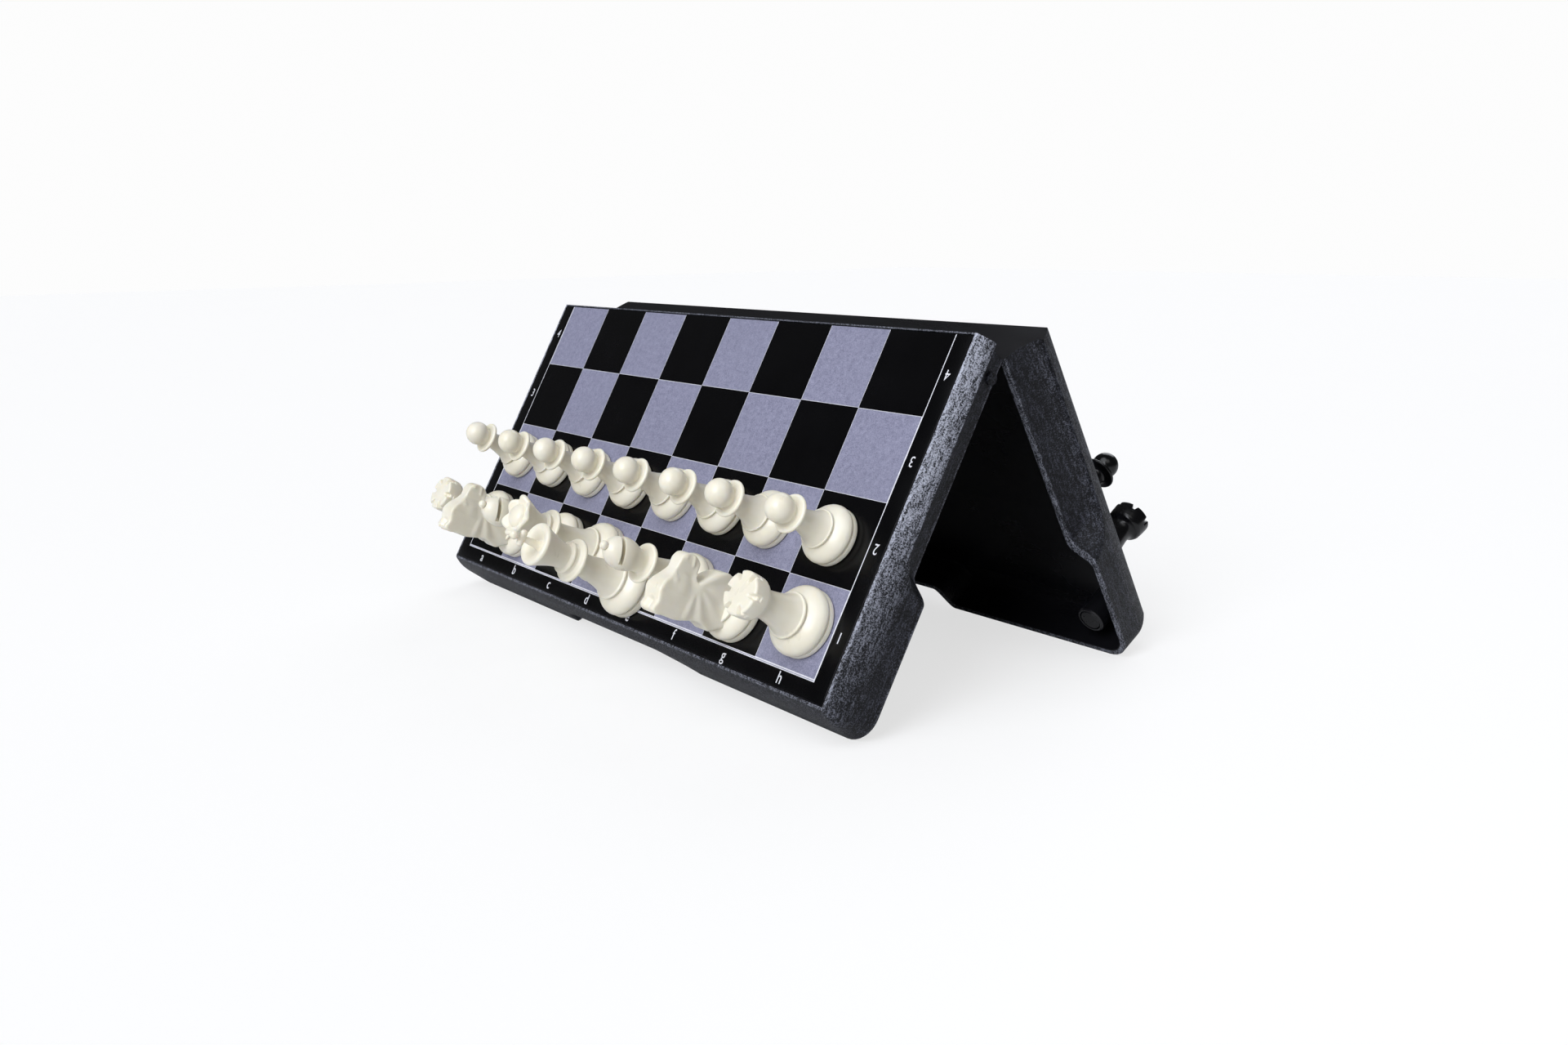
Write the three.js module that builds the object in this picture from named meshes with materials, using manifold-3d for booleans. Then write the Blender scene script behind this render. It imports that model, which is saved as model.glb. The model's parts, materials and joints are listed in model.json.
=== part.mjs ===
// Folding magnetic travel chess set, standing open as a tent.
// Millimetres, +Z up, +X along the hinge, the white half of the board faces -Y.
// Each half is modelled flat in its own frame: the hinge axis is its X axis, the
// board runs towards -Y, and +Z is the outward normal of the playing surface.

import * as THREE from 'three';
import { mergeVertices } from 'three/addons/utils/BufferGeometryUtils.js';
import Module from 'manifold-3d';

const wasm = await Module();
wasm.setup();

// ---- Driving dimensions -------------------------------------------------------

const BOARD_WIDTH = 250; // playing surface, along the hinge
const BORDER = 8.2; // dark margin outside the squares
const SQUARE = (BOARD_WIDTH - 2 * BORDER) / 8;
const BOARD_REACH = 4 * SQUARE + 7.6; // hinge line to the free edge of the surface
const CASE_DEPTH = 19; // playing surface to rim, and to the hinge axis
const STAND_ANGLE = THREE.MathUtils.degToRad(60); // slope of each half in the tent
const PARTING_GAP = 0.3; // between the two rims when the case is shut
const RIM_DEPTH = CASE_DEPTH - PARTING_GAP / 2;

const WALL_FLARE = 5; // how far the rim stands outside the playing surface
const WALL_DRAFT = 0.14; // outward slope of the flat lower part of the wall
const FLAT_FROM = 9; // depth where the wall's rounded upper part ends
const WALL = 2.2;
const WEB_DEPTH = 3.6; // ceiling of the storage cavity, below the playing surface
const CORNER_TOP = 0.8; // corner radius beside the playing surface
const CORNER_RIM = 9; // corner radius at the rim

const RIDGE_DEPTH = 6.5; // sharp upper edge of the finger scoops
const SCOOP_INSET = 3.5; // rim of a scoop, inside the edge of the playing surface
const SCOOP_RUN = 9; // length of the S-shaped end of a scoop
const END_SCOOP = [69, 83.5]; // where an end scoop stops, at its ridge and at the rim
const FRONT_SCOOP = [27, 43]; // half length of the free edge's scoop, the same way

const LIP = 0.8; // rim of the case round the printed panel
const HINGE_LIP = 0.5; // the same rim along the hinge
const PLATE_THICKNESS = 0.5;
const PANEL_THICKNESS = 0.8;
const FIT_GAP = 0.3; // between a part and what it lies on or in
const RECESS = PLATE_THICKNESS + PANEL_THICKNESS + 2 * FIT_GAP;

const KNUCKLE_RADIUS = 2.4;
const KNUCKLE_LENGTH = 10;
const KNUCKLE_CLEARANCE = 0.4;
const HINGE_OFFSET = 80; // centre of each hinge, from the middle
const PIN_RADIUS = 0.8;
const PIN_BORE = 1.1;
const PIN_LENGTH = 3 * KNUCKLE_LENGTH;

const MAGNET_X = 116;
const MAGNET_Y = -115;
const MAGNET_RADIUS = 4;
const MAGNET_THICKNESS = 3;
const BOSS_RADIUS = 5.4;
const BOSS_TOP = 1.2; // boss face, inside the rim plane

const LUG_RADIUS = 2.2; // small round lugs on the ends of the front half
const LUG_LENGTH = 3.6;
const LUG_CENTRE = [121.8, -8, 3];

const KNIGHT_THICKNESS = 8;
const SLIT_WIDTH = 1.4; // of the bishop's cut
const SLIT_LENGTH = 10; // from the bishop's axis outwards
const SLIT_HEIGHT = 34; // where it meets the axis
const SLIT_SLOPE = THREE.MathUtils.degToRad(22);
const SLIT_TURN = THREE.MathUtils.degToRad(42); // from +X, half way to the hinge

const TURNED_SIDES = 12; // facets round a chess piece
const ROUND_SIDES = 20; // facets round a pin, magnet or boss
const SCOOP_STEPS = 6; // along the S-shaped end of a scoop
const CORNER_STEPS = 4; // round a corner of the case

// ---- Materials ----------------------------------------------------------------

const material = (color, roughness, metalness = 0) =>
  new THREE.MeshStandardMaterial({ color, roughness, metalness });

const casePlastic = () => material(0x24262c, 0.6);
const panelPrint = () => material(0x8d8ba4, 0.35);
const steel = () => material(0x9a9c9f, 0.45, 1);
const ferrite = () => material(0x1c1c1e, 0.5);
const ivoryPlastic = () => material(0xe9e5d4, 0.35);
const blackPlastic = () => material(0x101113, 0.25);

// ---- Solids: boolean work -----------------------------------------------------

function toSolid(geometry) {
  const bare = geometry.clone();
  bare.deleteAttribute('normal');
  bare.deleteAttribute('uv');
  const merged = mergeVertices(bare, 1e-4);
  return new wasm.Manifold(
    new wasm.Mesh({
      numProp: 3,
      vertProperties: new Float32Array(merged.attributes.position.array),
      triVerts: new Uint32Array(merged.index.array),
    }),
  );
}

function toGeometry(solid) {
  const mesh = solid.getMesh();
  const geometry = new THREE.BufferGeometry();
  const points = new Float32Array(mesh.vertProperties);
  geometry.setAttribute('position', new THREE.BufferAttribute(points, 3));
  geometry.setIndex(new THREE.BufferAttribute(new Uint32Array(mesh.triVerts), 1));
  geometry.computeVertexNormals();
  return geometry;
}

const join = (solid, parts) => parts.reduce((whole, part) => whole.add(toSolid(part)), solid);
const cut = (solid, parts) => parts.reduce((whole, part) => whole.subtract(toSolid(part)), solid);

// A cylinder along X, by default centred on the hinge axis.
function rodAlongX(radius, length, x, y = 0, z = 0) {
  const rod = new THREE.CylinderGeometry(radius, radius, length, ROUND_SIDES);
  return rod.rotateZ(Math.PI / 2).translate(x, y, z);
}

// A cylinder along Z between two heights.
function postAlongZ(radius, low, high, x = 0, y = 0) {
  const post = new THREE.CylinderGeometry(radius, radius, high - low, ROUND_SIDES);
  return post.rotateX(Math.PI / 2).translate(x, y, (low + high) / 2);
}

function block(width, depth, height, x, y, z) {
  return new THREE.BoxGeometry(width, depth, height).translate(x, y, z);
}

// ---- Case halves --------------------------------------------------------------

const smooth = (t) => t * t * (3 - 2 * t);

// Outward offset of the wall: rounded beside the playing surface, then flat to the rim.
function flareAt(depth) {
  const rounding = (WALL_FLARE - WALL_DRAFT * CASE_DEPTH) / FLAT_FROM ** 2;
  const straight = WALL_FLARE - WALL_DRAFT * (CASE_DEPTH - depth);
  return straight - rounding * Math.max(FLAT_FROM - depth, 0) ** 2;
}

// How deep the scoops are: none at their ridge, all at the rim, on a quarter ellipse.
function scoopAt(depth) {
  if (depth <= RIDGE_DEPTH) return 0;
  const rise = (CASE_DEPTH - depth) / (CASE_DEPTH - RIDGE_DEPTH);
  return Math.sqrt(1 - Math.max(rise, 0) ** 2);
}

const between = ([start, end], t) => start + (end - start) * t;

// Outline of the case in plan, from the left hinge corner round to the right one.
// offset: wall outside the playing surface's edge; inset: how far the scoops cut in.
function outline({ offset, inset, endScoop, frontScoop, corner, hingeGap }, z) {
  const halfWidth = BOARD_WIDTH / 2 + offset;
  const reach = BOARD_REACH + offset;
  const right = [];
  for (let i = 0; i <= SCOOP_STEPS; i += 1) {
    const t = i / SCOOP_STEPS;
    const x = frontScoop - SCOOP_RUN * (1 - t);
    right.push([x, reach - inset * (1 - smooth(t))]);
  }
  for (let i = 0; i <= CORNER_STEPS; i += 1) {
    const turn = ((1 - i / CORNER_STEPS) * Math.PI) / 2;
    const x = halfWidth - corner + corner * Math.cos(turn);
    right.push([x, reach - corner + corner * Math.sin(turn)]);
  }
  for (let i = 0; i <= SCOOP_STEPS; i += 1) {
    const t = i / SCOOP_STEPS;
    right.push([halfWidth - inset * smooth(t), endScoop - SCOOP_RUN * t]);
  }
  right.push([halfWidth - inset, hingeGap]);
  const left = right.map(([x, reachAt]) => [-x, reachAt]).reverse();
  return [...left, ...right].map(([x, reachAt]) => new THREE.Vector3(x, -reachAt, z));
}

function outerRing(depth) {
  const scoop = scoopAt(depth);
  return outline(
    {
      offset: flareAt(depth),
      inset: scoop * (flareAt(depth) + SCOOP_INSET),
      endScoop: between(END_SCOOP, scoop),
      frontScoop: between(FRONT_SCOOP, scoop),
      corner: CORNER_TOP + (CORNER_RIM - CORNER_TOP) * (depth / CASE_DEPTH),
      hingeGap: PARTING_GAP / 2,
    },
    CASE_DEPTH - depth,
  );
}

function cavityRing(depth) {
  const offset = flareAt(depth) - WALL;
  return outline(
    {
      offset,
      inset: offset + SCOOP_INSET + WALL,
      endScoop: END_SCOOP[1] + WALL,
      frontScoop: FRONT_SCOOP[1] + WALL,
      corner: CORNER_RIM - WALL,
      hingeGap: PARTING_GAP / 2 + WALL,
    },
    CASE_DEPTH - depth,
  );
}

function recessRing(depth) {
  return outline(
    {
      offset: -LIP,
      inset: 0,
      endScoop: END_SCOOP[0],
      frontScoop: FRONT_SCOOP[0],
      corner: CORNER_TOP / 2,
      hingeGap: PARTING_GAP / 2 + HINGE_LIP,
    },
    CASE_DEPTH - depth,
  );
}

// Closed skin through a list of rings with the same number of points. The first
// ring is closed by a face that looks up, the last by one that looks down.
function skin(rings) {
  const count = rings[0].length;
  const points = rings.flat();
  const faces = [];
  for (let r = 0; r + 1 < rings.length; r += 1) {
    for (let i = 0; i < count; i += 1) {
      const j = (i + 1) % count;
      const [a, b] = [r * count + i, r * count + j];
      faces.push(a, a + count, b + count, a, b + count, b);
    }
  }
  const last = points.length - count;
  const ends = [
    { ring: rings[0], first: 0, up: true },
    { ring: rings.at(-1), first: last, up: false },
  ];
  for (const { ring, first, up } of ends) {
    const middle = points.length;
    points.push(new THREE.Vector3(0, -BOARD_REACH / 2, ring[0].z));
    for (let i = 0; i < count; i += 1) {
      const j = (i + 1) % count;
      faces.push(middle, first + (up ? i : j), first + (up ? j : i));
    }
  }
  const geometry = new THREE.BufferGeometry().setFromPoints(points);
  geometry.setIndex(faces);
  return geometry;
}

function caseShell() {
  const outerDepths = [0, 3, RIDGE_DEPTH, 7.2, FLAT_FROM, 12, 15.5, RIM_DEPTH];
  const cavityDepths = [RIM_DEPTH, FLAT_FROM, WEB_DEPTH];
  const rings = [
    recessRing(RECESS),
    recessRing(0),
    ...outerDepths.map(outerRing),
    ...cavityDepths.map(cavityRing),
  ];
  return toSolid(skin(rings));
}

// Knuckle centres of one hinge half, seen from the middle of each hinge.
const KNUCKLES = { front: [0], rear: [-1, 1] };

function knuckles(side, radius, extra = 0) {
  return [-HINGE_OFFSET, HINGE_OFFSET].flatMap((hinge) =>
    KNUCKLES[side].map((place) => {
      const x = hinge + place * (KNUCKLE_LENGTH + PARTING_GAP / 2);
      return rodAlongX(radius, KNUCKLE_LENGTH - PARTING_GAP + extra, x);
    }),
  );
}

function caseHalf(side) {
  const other = side === 'front' ? 'rear' : 'front';
  const bosses = [-MAGNET_X, MAGNET_X].map((x) =>
    postAlongZ(BOSS_RADIUS, BOSS_TOP, CASE_DEPTH - WEB_DEPTH + 1, x, MAGNET_Y),
  );
  const pocketTop = BOSS_TOP + MAGNET_THICKNESS + FIT_GAP;
  const pockets = [-MAGNET_X, MAGNET_X].map((x) =>
    postAlongZ(MAGNET_RADIUS + FIT_GAP, BOSS_TOP - 1, pocketTop, x, MAGNET_Y),
  );
  const clearance = KNUCKLE_RADIUS + KNUCKLE_CLEARANCE;
  const bores = [-HINGE_OFFSET, HINGE_OFFSET].map((x) =>
    rodAlongX(PIN_BORE, PIN_LENGTH + 2, x),
  );
  const [lugX, lugY, lugZ] = LUG_CENTRE;
  const lugEnds = side === 'front' ? [-lugX, lugX] : [];
  const lugs = lugEnds.map((x) => rodAlongX(LUG_RADIUS, LUG_LENGTH, x, lugY, lugZ));
  let solid = join(caseShell(), [...bosses, ...lugs]);
  solid = cut(solid, [...pockets, ...knuckles(other, clearance, 3 * PARTING_GAP)]);
  solid = join(solid, knuckles(side, KNUCKLE_RADIUS));
  return toGeometry(cut(solid, bores));
}

// A flat sheet lying in the recess, its top face at the given height.
function sheet(thickness, top) {
  const low = PARTING_GAP / 2 + HINGE_LIP + FIT_GAP;
  const high = BOARD_REACH - LIP - FIT_GAP;
  const width = BOARD_WIDTH - 2 * (LIP + FIT_GAP);
  return block(width, high - low, thickness, 0, -(low + high) / 2, top - thickness / 2);
}

// ---- Chess pieces -------------------------------------------------------------

// A solid turned about Z from [radius, height] points, on the axis at both ends.
function turned(profile) {
  const points = profile.map(([radius, height]) => new THREE.Vector2(radius, height));
  return toSolid(new THREE.LatheGeometry(points, TURNED_SIDES).rotateX(Math.PI / 2));
}

// The foot of every piece: a low edge, a rounded dome and a step into the neck.
function foot(radius, height) {
  return [
    [0, 0],
    [radius * 0.97, 0],
    [radius, height * 0.22],
    [radius * 0.95, height * 0.5],
    [radius * 0.68, height * 0.84],
    [radius * 0.62, height],
  ];
}

// An upright egg from its neck to its top; a ball where radius and rise are equal.
function egg(radius, rise, centre, neck, steps = 4) {
  const start = -Math.acos(neck / radius);
  const points = [];
  for (let i = 0; i <= steps; i += 1) {
    const angle = start + ((Math.PI / 2 - start) * i) / steps;
    points.push([i === steps ? 0 : radius * Math.cos(angle), centre + rise * Math.sin(angle)]);
  }
  return points;
}

// Slots across a crown, evenly turned about Z.
function slots(count, width, depth, top) {
  const bars = [];
  for (let i = 0; i < count; i += 1) {
    const bar = new THREE.BoxGeometry(4 * SQUARE, width, 2 * depth);
    bars.push(bar.rotateZ((i * Math.PI) / count).translate(0, 0, top));
  }
  return bars;
}

function pawn() {
  const neck = [[3.7, 14.5], [3.3, 18], [6.4, 20.6], [5.9, 21.5]];
  return turned([...foot(9.9, 8.6), ...neck, ...egg(4.8, 4.8, 25.2, 3.3)]);
}

function rook() {
  const drum = [[4.9, 15.5], [4.7, 19], [6.3, 22], [7, 25], [7, 30], [0, 30.2]];
  return cut(turned([...foot(11.6, 9.4), ...drum]), slots(3, 1.2, 1.2, 30));
}

function bishop() {
  const neck = [[4.4, 15.5], [3.7, 20.5], [7, 23.6], [6.6, 24.8], [3.9, 25.6]];
  const tip = [[1.7, 38.8], [2, 40.2], [1.4, 41.7], [0, 42]];
  const mitre = egg(5.6, 7.4, 32.6, 4.2).slice(0, -1);
  const slit = block(SLIT_LENGTH, SQUARE, SLIT_WIDTH, SLIT_LENGTH / 2, 0, 0);
  slit.rotateY(-SLIT_SLOPE).rotateZ(SLIT_TURN).translate(0, 0, SLIT_HEIGHT);
  return cut(turned([...foot(11, 9.4), ...neck, ...mitre, ...tip]), [slit]);
}

// The horse's head is a thick outline that looks along its file, towards the hinge.
function knight() {
  const head = new THREE.Shape();
  head.moveTo(-7.2, 7.6);
  head.lineTo(-10.2, 11.6);
  head.quadraticCurveTo(-7.6, 19, -11.2, 27);
  head.lineTo(-11.6, 33.2);
  head.lineTo(-10.4, 35.2);
  head.lineTo(-3.4, 36.2);
  head.quadraticCurveTo(1.5, 33, 7.2, 32);
  head.lineTo(10, 28.6);
  head.lineTo(8.4, 24.2);
  head.lineTo(2.6, 23.2);
  head.quadraticCurveTo(5, 19.6, 9, 15.4);
  head.lineTo(9.6, 12.6);
  head.lineTo(7, 7.6);
  head.closePath();
  const options = { depth: KNIGHT_THICKNESS, bevelEnabled: false, curveSegments: 3 };
  const neck = new THREE.ExtrudeGeometry(head, options);
  neck.rotateX(Math.PI / 2).translate(0, KNIGHT_THICKNESS / 2, 0).rotateZ(Math.PI / 2);
  return join(turned([...foot(11, 9.4), [0, 9.4]]), [neck]);
}

function queen() {
  const neck = [[4.8, 17], [4.2, 25], [7.6, 28], [7.2, 29.4], [4.4, 30.4], [4.7, 33]];
  const crown = [[7.8, 41.6], [6.9, 42.6], [5.4, 41.2], ...egg(4.6, 2.6, 41, 4.5, 3)];
  return cut(turned([...foot(11.8, 10), ...neck, ...crown]), slots(3, 1.6, 1.5, 42.6));
}

function king() {
  const neck = [[4.8, 17], [4.2, 25], [8.3, 28], [8.1, 29.8], [5.8, 30.6], [5.4, 32.6], [4.6, 33.4]];
  const cup = [[4.9, 36], [7.8, 44], [7.1, 45.1], [4.4, 44], [2.3, 42.6], [0, 42.6]];
  const post = block(2.4, 2.4, 14, 0, 0, 48);
  const arms = block(2.4, 6, 2.4, 0, 0, 50.2);
  return join(turned([...foot(12.1, 10.4), ...neck, ...cup]), [post, arms]);
}

const SHAPES = { pawn, rook, knight, bishop, queen, king };
const BACK_RANK = ['rook', 'knight', 'bishop', 'queen', 'king', 'bishop', 'knight', 'rook'];
const FILES = 'abcdefgh';

// Pieces that stand off the middle of their square: files towards h, ranks towards the hinge.
const NUDGES = {
  white_king: [-0.15, -0.26],
  black_king: [0.05, -0.26],
  black_rook_h: [0.1, -0.12],
  black_pawn_h: [0.08, -0.17],
  white_rook_h: [0.08, 0.02],
  white_knight_g: [-0.04, -0.1],
  white_knight_b: [-0.16, -0.08],
  white_pawn_h: [-0.04, 0],
  white_pawn_g: [-0.1, 0],
};

function pieceName(colour, shape, file) {
  const single = shape === 'king' || shape === 'queen';
  return single ? `${colour}_${shape}` : `${colour}_${shape}_${FILES[file]}`;
}

// All sixteen pieces of one colour. flip is -1 on the half whose files run backwards.
function army(colour, finish, flip) {
  const ranks = [BACK_RANK, Array(8).fill('pawn')];
  return ranks.flatMap((rank, row) =>
    rank.map((shape, file) => {
      const piece = new THREE.Mesh(toGeometry(SHAPES[shape]()), finish());
      piece.name = pieceName(colour, shape, file);
      const [alongFile, alongRank] = NUDGES[piece.name] ?? [0, 0];
      const x = (file - 3.5 + alongFile) * SQUARE * flip;
      const y = (row + 0.5 + alongRank - 4) * SQUARE;
      piece.position.set(x, y, CASE_DEPTH + FIT_GAP);
      return piece;
    }),
  );
}

// ---- Assembly -----------------------------------------------------------------

function named(name, geometry, finish) {
  const mesh = new THREE.Mesh(geometry, finish);
  mesh.name = name;
  return mesh;
}

function boardHalf(side, colour, finish, flip) {
  const half = new THREE.Group();
  const plateTop = CASE_DEPTH - PANEL_THICKNESS - FIT_GAP;
  half.add(named(`${side}_case`, caseHalf(side), casePlastic()));
  half.add(named(`${side}_steel_plate`, sheet(PLATE_THICKNESS, plateTop), steel()));
  half.add(named(`${side}_board_panel`, sheet(PANEL_THICKNESS, CASE_DEPTH), panelPrint()));
  for (const [hand, x] of [['a', -MAGNET_X * flip], ['h', MAGNET_X * flip]]) {
    const disc = postAlongZ(MAGNET_RADIUS, BOSS_TOP, BOSS_TOP + MAGNET_THICKNESS, x, MAGNET_Y);
    half.add(named(`${side}_catch_magnet_${hand}`, disc, ferrite()));
  }
  half.add(...army(colour, finish, flip));
  return half;
}

function hingePins() {
  return [['a', -HINGE_OFFSET], ['h', HINGE_OFFSET]].map(([hand, x]) =>
    named(`hinge_pin_${hand}`, rodAlongX(PIN_RADIUS, PIN_LENGTH - PARTING_GAP, x), steel()),
  );
}

// Each half stands on the outer edge of its free rim.
const footReach = BOARD_REACH + flareAt(RIM_DEPTH);
const footRise = (PARTING_GAP / 2) * Math.cos(STAND_ANGLE);
const hingeHeight = footReach * Math.sin(STAND_ANGLE) - footRise;

const set = new THREE.Group();

const front = boardHalf('front', 'white', ivoryPlastic, 1);
front.add(...hingePins());
front.rotation.x = STAND_ANGLE;

const rear = boardHalf('rear', 'black', blackPlastic, -1);
rear.rotation.order = 'ZXY';
rear.rotation.x = STAND_ANGLE;
rear.rotation.z = Math.PI;

for (const half of [front, rear]) {
  half.position.z = hingeHeight;
  set.add(half);
}

export default set;
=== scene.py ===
"""Looks of a folding magnetic travel chess set that stands open as a tent.

Shapes are drawn in millimetres in the frame of one half: its X axis is the hinge, the board
runs towards -Y and +Z is the outward normal of the playing surface. Meshes are built in
metres, and place() moves their vertices to where their half stands.
"""
import json
import math

import bmesh
import bpy
from mathutils import Matrix, Vector


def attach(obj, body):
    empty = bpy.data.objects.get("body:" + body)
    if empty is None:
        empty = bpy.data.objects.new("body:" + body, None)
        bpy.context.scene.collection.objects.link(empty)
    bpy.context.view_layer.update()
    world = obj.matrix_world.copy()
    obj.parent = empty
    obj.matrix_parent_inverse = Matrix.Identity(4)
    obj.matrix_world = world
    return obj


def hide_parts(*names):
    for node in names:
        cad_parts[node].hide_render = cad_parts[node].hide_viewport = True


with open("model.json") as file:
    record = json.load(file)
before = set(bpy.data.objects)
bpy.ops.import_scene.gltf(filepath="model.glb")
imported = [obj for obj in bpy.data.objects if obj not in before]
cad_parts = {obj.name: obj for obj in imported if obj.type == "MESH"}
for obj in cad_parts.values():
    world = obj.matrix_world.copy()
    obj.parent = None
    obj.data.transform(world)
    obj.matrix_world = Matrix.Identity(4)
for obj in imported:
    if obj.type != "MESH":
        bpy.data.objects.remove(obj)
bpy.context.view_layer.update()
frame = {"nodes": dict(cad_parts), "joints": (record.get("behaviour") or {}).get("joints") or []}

# ---- Sizes, in millimetres ---------------------------------------------------------

MM = 0.001
CASE_DEPTH = 19.0  # playing surface to rim, and to the hinge axis
STAND_ANGLE = math.radians(60)
PARTING_GAP = 0.3
RIM_DEPTH = CASE_DEPTH - PARTING_GAP / 2

BOARD_WIDTH = 250.0
BORDER = 8.2
SQUARE = (BOARD_WIDTH - 2 * BORDER) / 8
BOARD_REACH = 4 * SQUARE + 7.6

WALL_FLARE = 5.0  # how far the rim stands out past the playing surface
WALL_DRAFT = 0.14  # slope of the wall's flat part
FLAT_FROM = 9.0  # depth where the rounded part ends
WALL = 2.2
WEB_DEPTH = 3.6  # playing surface to the inside of the tray
CORNER_TOP = 0.8  # corner radius beside the playing surface
CORNER_RIM = 9.0  # corner radius at the rim
RIDGE_DEPTH = 6.5  # depth of the ridge where the finger scoops start
SCOOP_INSET = 3.5  # how far a scoop cuts in below the playing surface
SCOOP_RUN = 9.0  # length of a scoop's S-shaped end
END_SCOOP = (69.0, 83.5)  # reach from the hinge, at its ridge and at the rim
FRONT_SCOOP = (27.0, 43.0)  # half its width, at its ridge and at the rim
LIP = 0.8  # width of the lip round the panel
HINGE_LIP = 0.5  # the same on the hinge side
EDGE = 0.3  # radius of the case's moulded edges

PLATE_THICKNESS = 0.5
PANEL_THICKNESS = 0.8
FIT_GAP = 0.3
RECESS = PLATE_THICKNESS + PANEL_THICKNESS + 2 * FIT_GAP

KNUCKLE_RADIUS = 2.4
KNUCKLE_LENGTH = 10.0
KNUCKLE_CLEARANCE = 0.4
HINGE_OFFSET = 80.0  # each hinge's middle from the board's middle
PIN_RADIUS = 0.8
PIN_BORE = 1.1
PIN_LENGTH = 3 * KNUCKLE_LENGTH
KNUCKLES = {"front": (0,), "rear": (-1, 1)}  # places along a hinge, in knuckles

MAGNET_X = 116.0
MAGNET_Y = -115.0
MAGNET_RADIUS = 4.0
MAGNET_THICKNESS = 3.0
BOSS_RADIUS = 5.4
BOSS_TOP = 1.2  # height of its free end above the hinge axis

LUG_RADIUS = 2.2
LUG_LENGTH = 3.6
LUG_CENTRE = (121.8, -8.0, 3.0)

FOOT_MAGNET_RADIUS = 5.0
FOOT_MAGNET_THICKNESS = 1.3

HINGE = Vector(next(j for j in frame["joints"] if j["name"] == "fold_hinge")["pos_m"])


def half_matrix(side):
    """Where a half's own frame stands, in metres."""
    turn = Matrix.Rotation(math.pi if side == "rear" else 0.0, 4, "Z")
    return Matrix.Translation(HINGE) @ turn @ Matrix.Rotation(STAND_ANGLE, 4, "X")


# ---- Material nodes ----------------------------------------------------------------


class Nodes:
    """A small writer of node trees: each call adds a node and returns its output."""

    def __init__(self, name):
        self.material = bpy.data.materials.new(name)
        self.material.use_nodes = True
        self.tree = self.material.node_tree
        self.shader = self.tree.nodes["Principled BSDF"]
        self.place = self.tree.nodes.new("ShaderNodeTexCoord").outputs["Object"]

    def link(self, value, socket):
        if isinstance(value, bpy.types.NodeSocket):
            self.tree.links.new(value, socket)
        else:
            socket.default_value = value

    def noise(self, scale, detail=2.0, roughness=0.5, stretch=(1, 1, 1), place=None):
        """Noise with `scale` cells per metre of the object's own frame."""
        mapping = self.tree.nodes.new("ShaderNodeMapping")
        mapping.inputs["Scale"].default_value = stretch
        self.link(place or self.place, mapping.inputs["Vector"])
        node = self.tree.nodes.new("ShaderNodeTexNoise")
        self.link(mapping.outputs["Vector"], node.inputs["Vector"])
        node.inputs["Scale"].default_value = scale
        node.inputs["Detail"].default_value = detail
        node.inputs["Roughness"].default_value = roughness
        return node.outputs["Fac"]

    def half_frame(self):
        """Distances in metres from the hinge line's middle, in the frame of the nearer half.

        Returns how far out along the hinge, how far up the slope, and how far along the
        outward normal.
        """
        split = self.tree.nodes.new("ShaderNodeSeparateXYZ")
        self.link(self.place, split.inputs["Vector"])
        along = self.maths("ABSOLUTE", split.outputs["X"], 0.0)
        out = self.maths("ABSOLUTE", split.outputs["Y"], 0.0)
        rise = self.maths("SUBTRACT", split.outputs["Z"], HINGE.z)
        sine, cosine = math.sin(STAND_ANGLE), math.cos(STAND_ANGLE)
        rise_up = self.maths("MULTIPLY", rise, sine)
        out_up = self.maths("MULTIPLY", out, cosine)
        out_away = self.maths("MULTIPLY", out, sine)
        rise_away = self.maths("MULTIPLY", rise, cosine)
        slope = self.maths("SUBTRACT", rise_up, out_up)
        normal = self.maths("ADD", out_away, rise_away)
        return along, slope, normal

    def vector(self, x, y, z):
        node = self.tree.nodes.new("ShaderNodeCombineXYZ")
        for value, socket in zip((x, y, z), node.inputs):
            self.link(value, socket)
        return node.outputs["Vector"]

    def ramp(self, value, low, high, start=0.0, end=1.0):
        """Maps `value` between low and high to start and end, clamped."""
        node = self.tree.nodes.new("ShaderNodeMapRange")
        self.link(value, node.inputs["Value"])
        node.inputs["From Min"].default_value = low
        node.inputs["From Max"].default_value = high
        node.inputs["To Min"].default_value = start
        node.inputs["To Max"].default_value = end
        return node.outputs["Result"]

    def maths(self, operation, first, second):
        node = self.tree.nodes.new("ShaderNodeMath")
        node.operation = operation
        self.link(first, node.inputs[0])
        self.link(second, node.inputs[1])
        return node.outputs["Value"]

    def mix(self, share, first, second):
        """A colour between two colours."""
        node = self.tree.nodes.new("ShaderNodeMix")
        node.data_type = "RGBA"
        self.link(share, node.inputs["Factor"])
        for colour, socket in ((first, node.inputs["A"]), (second, node.inputs["B"])):
            linked = isinstance(colour, bpy.types.NodeSocket)
            self.link(colour if linked else (*colour, 1.0), socket)
        return node.outputs["Result"]

    def bump(self, height, distance, strength=1.0):
        node = self.tree.nodes.new("ShaderNodeBump")
        node.inputs["Strength"].default_value = strength
        node.inputs["Distance"].default_value = distance
        self.link(height, node.inputs["Height"])
        self.link(node.outputs["Normal"], self.shader.inputs["Normal"])

    def set(self, **sockets):
        """Shader sockets by name, with spaces written as underscores."""
        for name, value in sockets.items():
            socket = self.shader.inputs[name.replace("_", " ")]
            colour = isinstance(value, tuple) and socket.type == "RGBA"
            self.link((*value, 1.0) if colour else value, socket)
        return self.material


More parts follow.
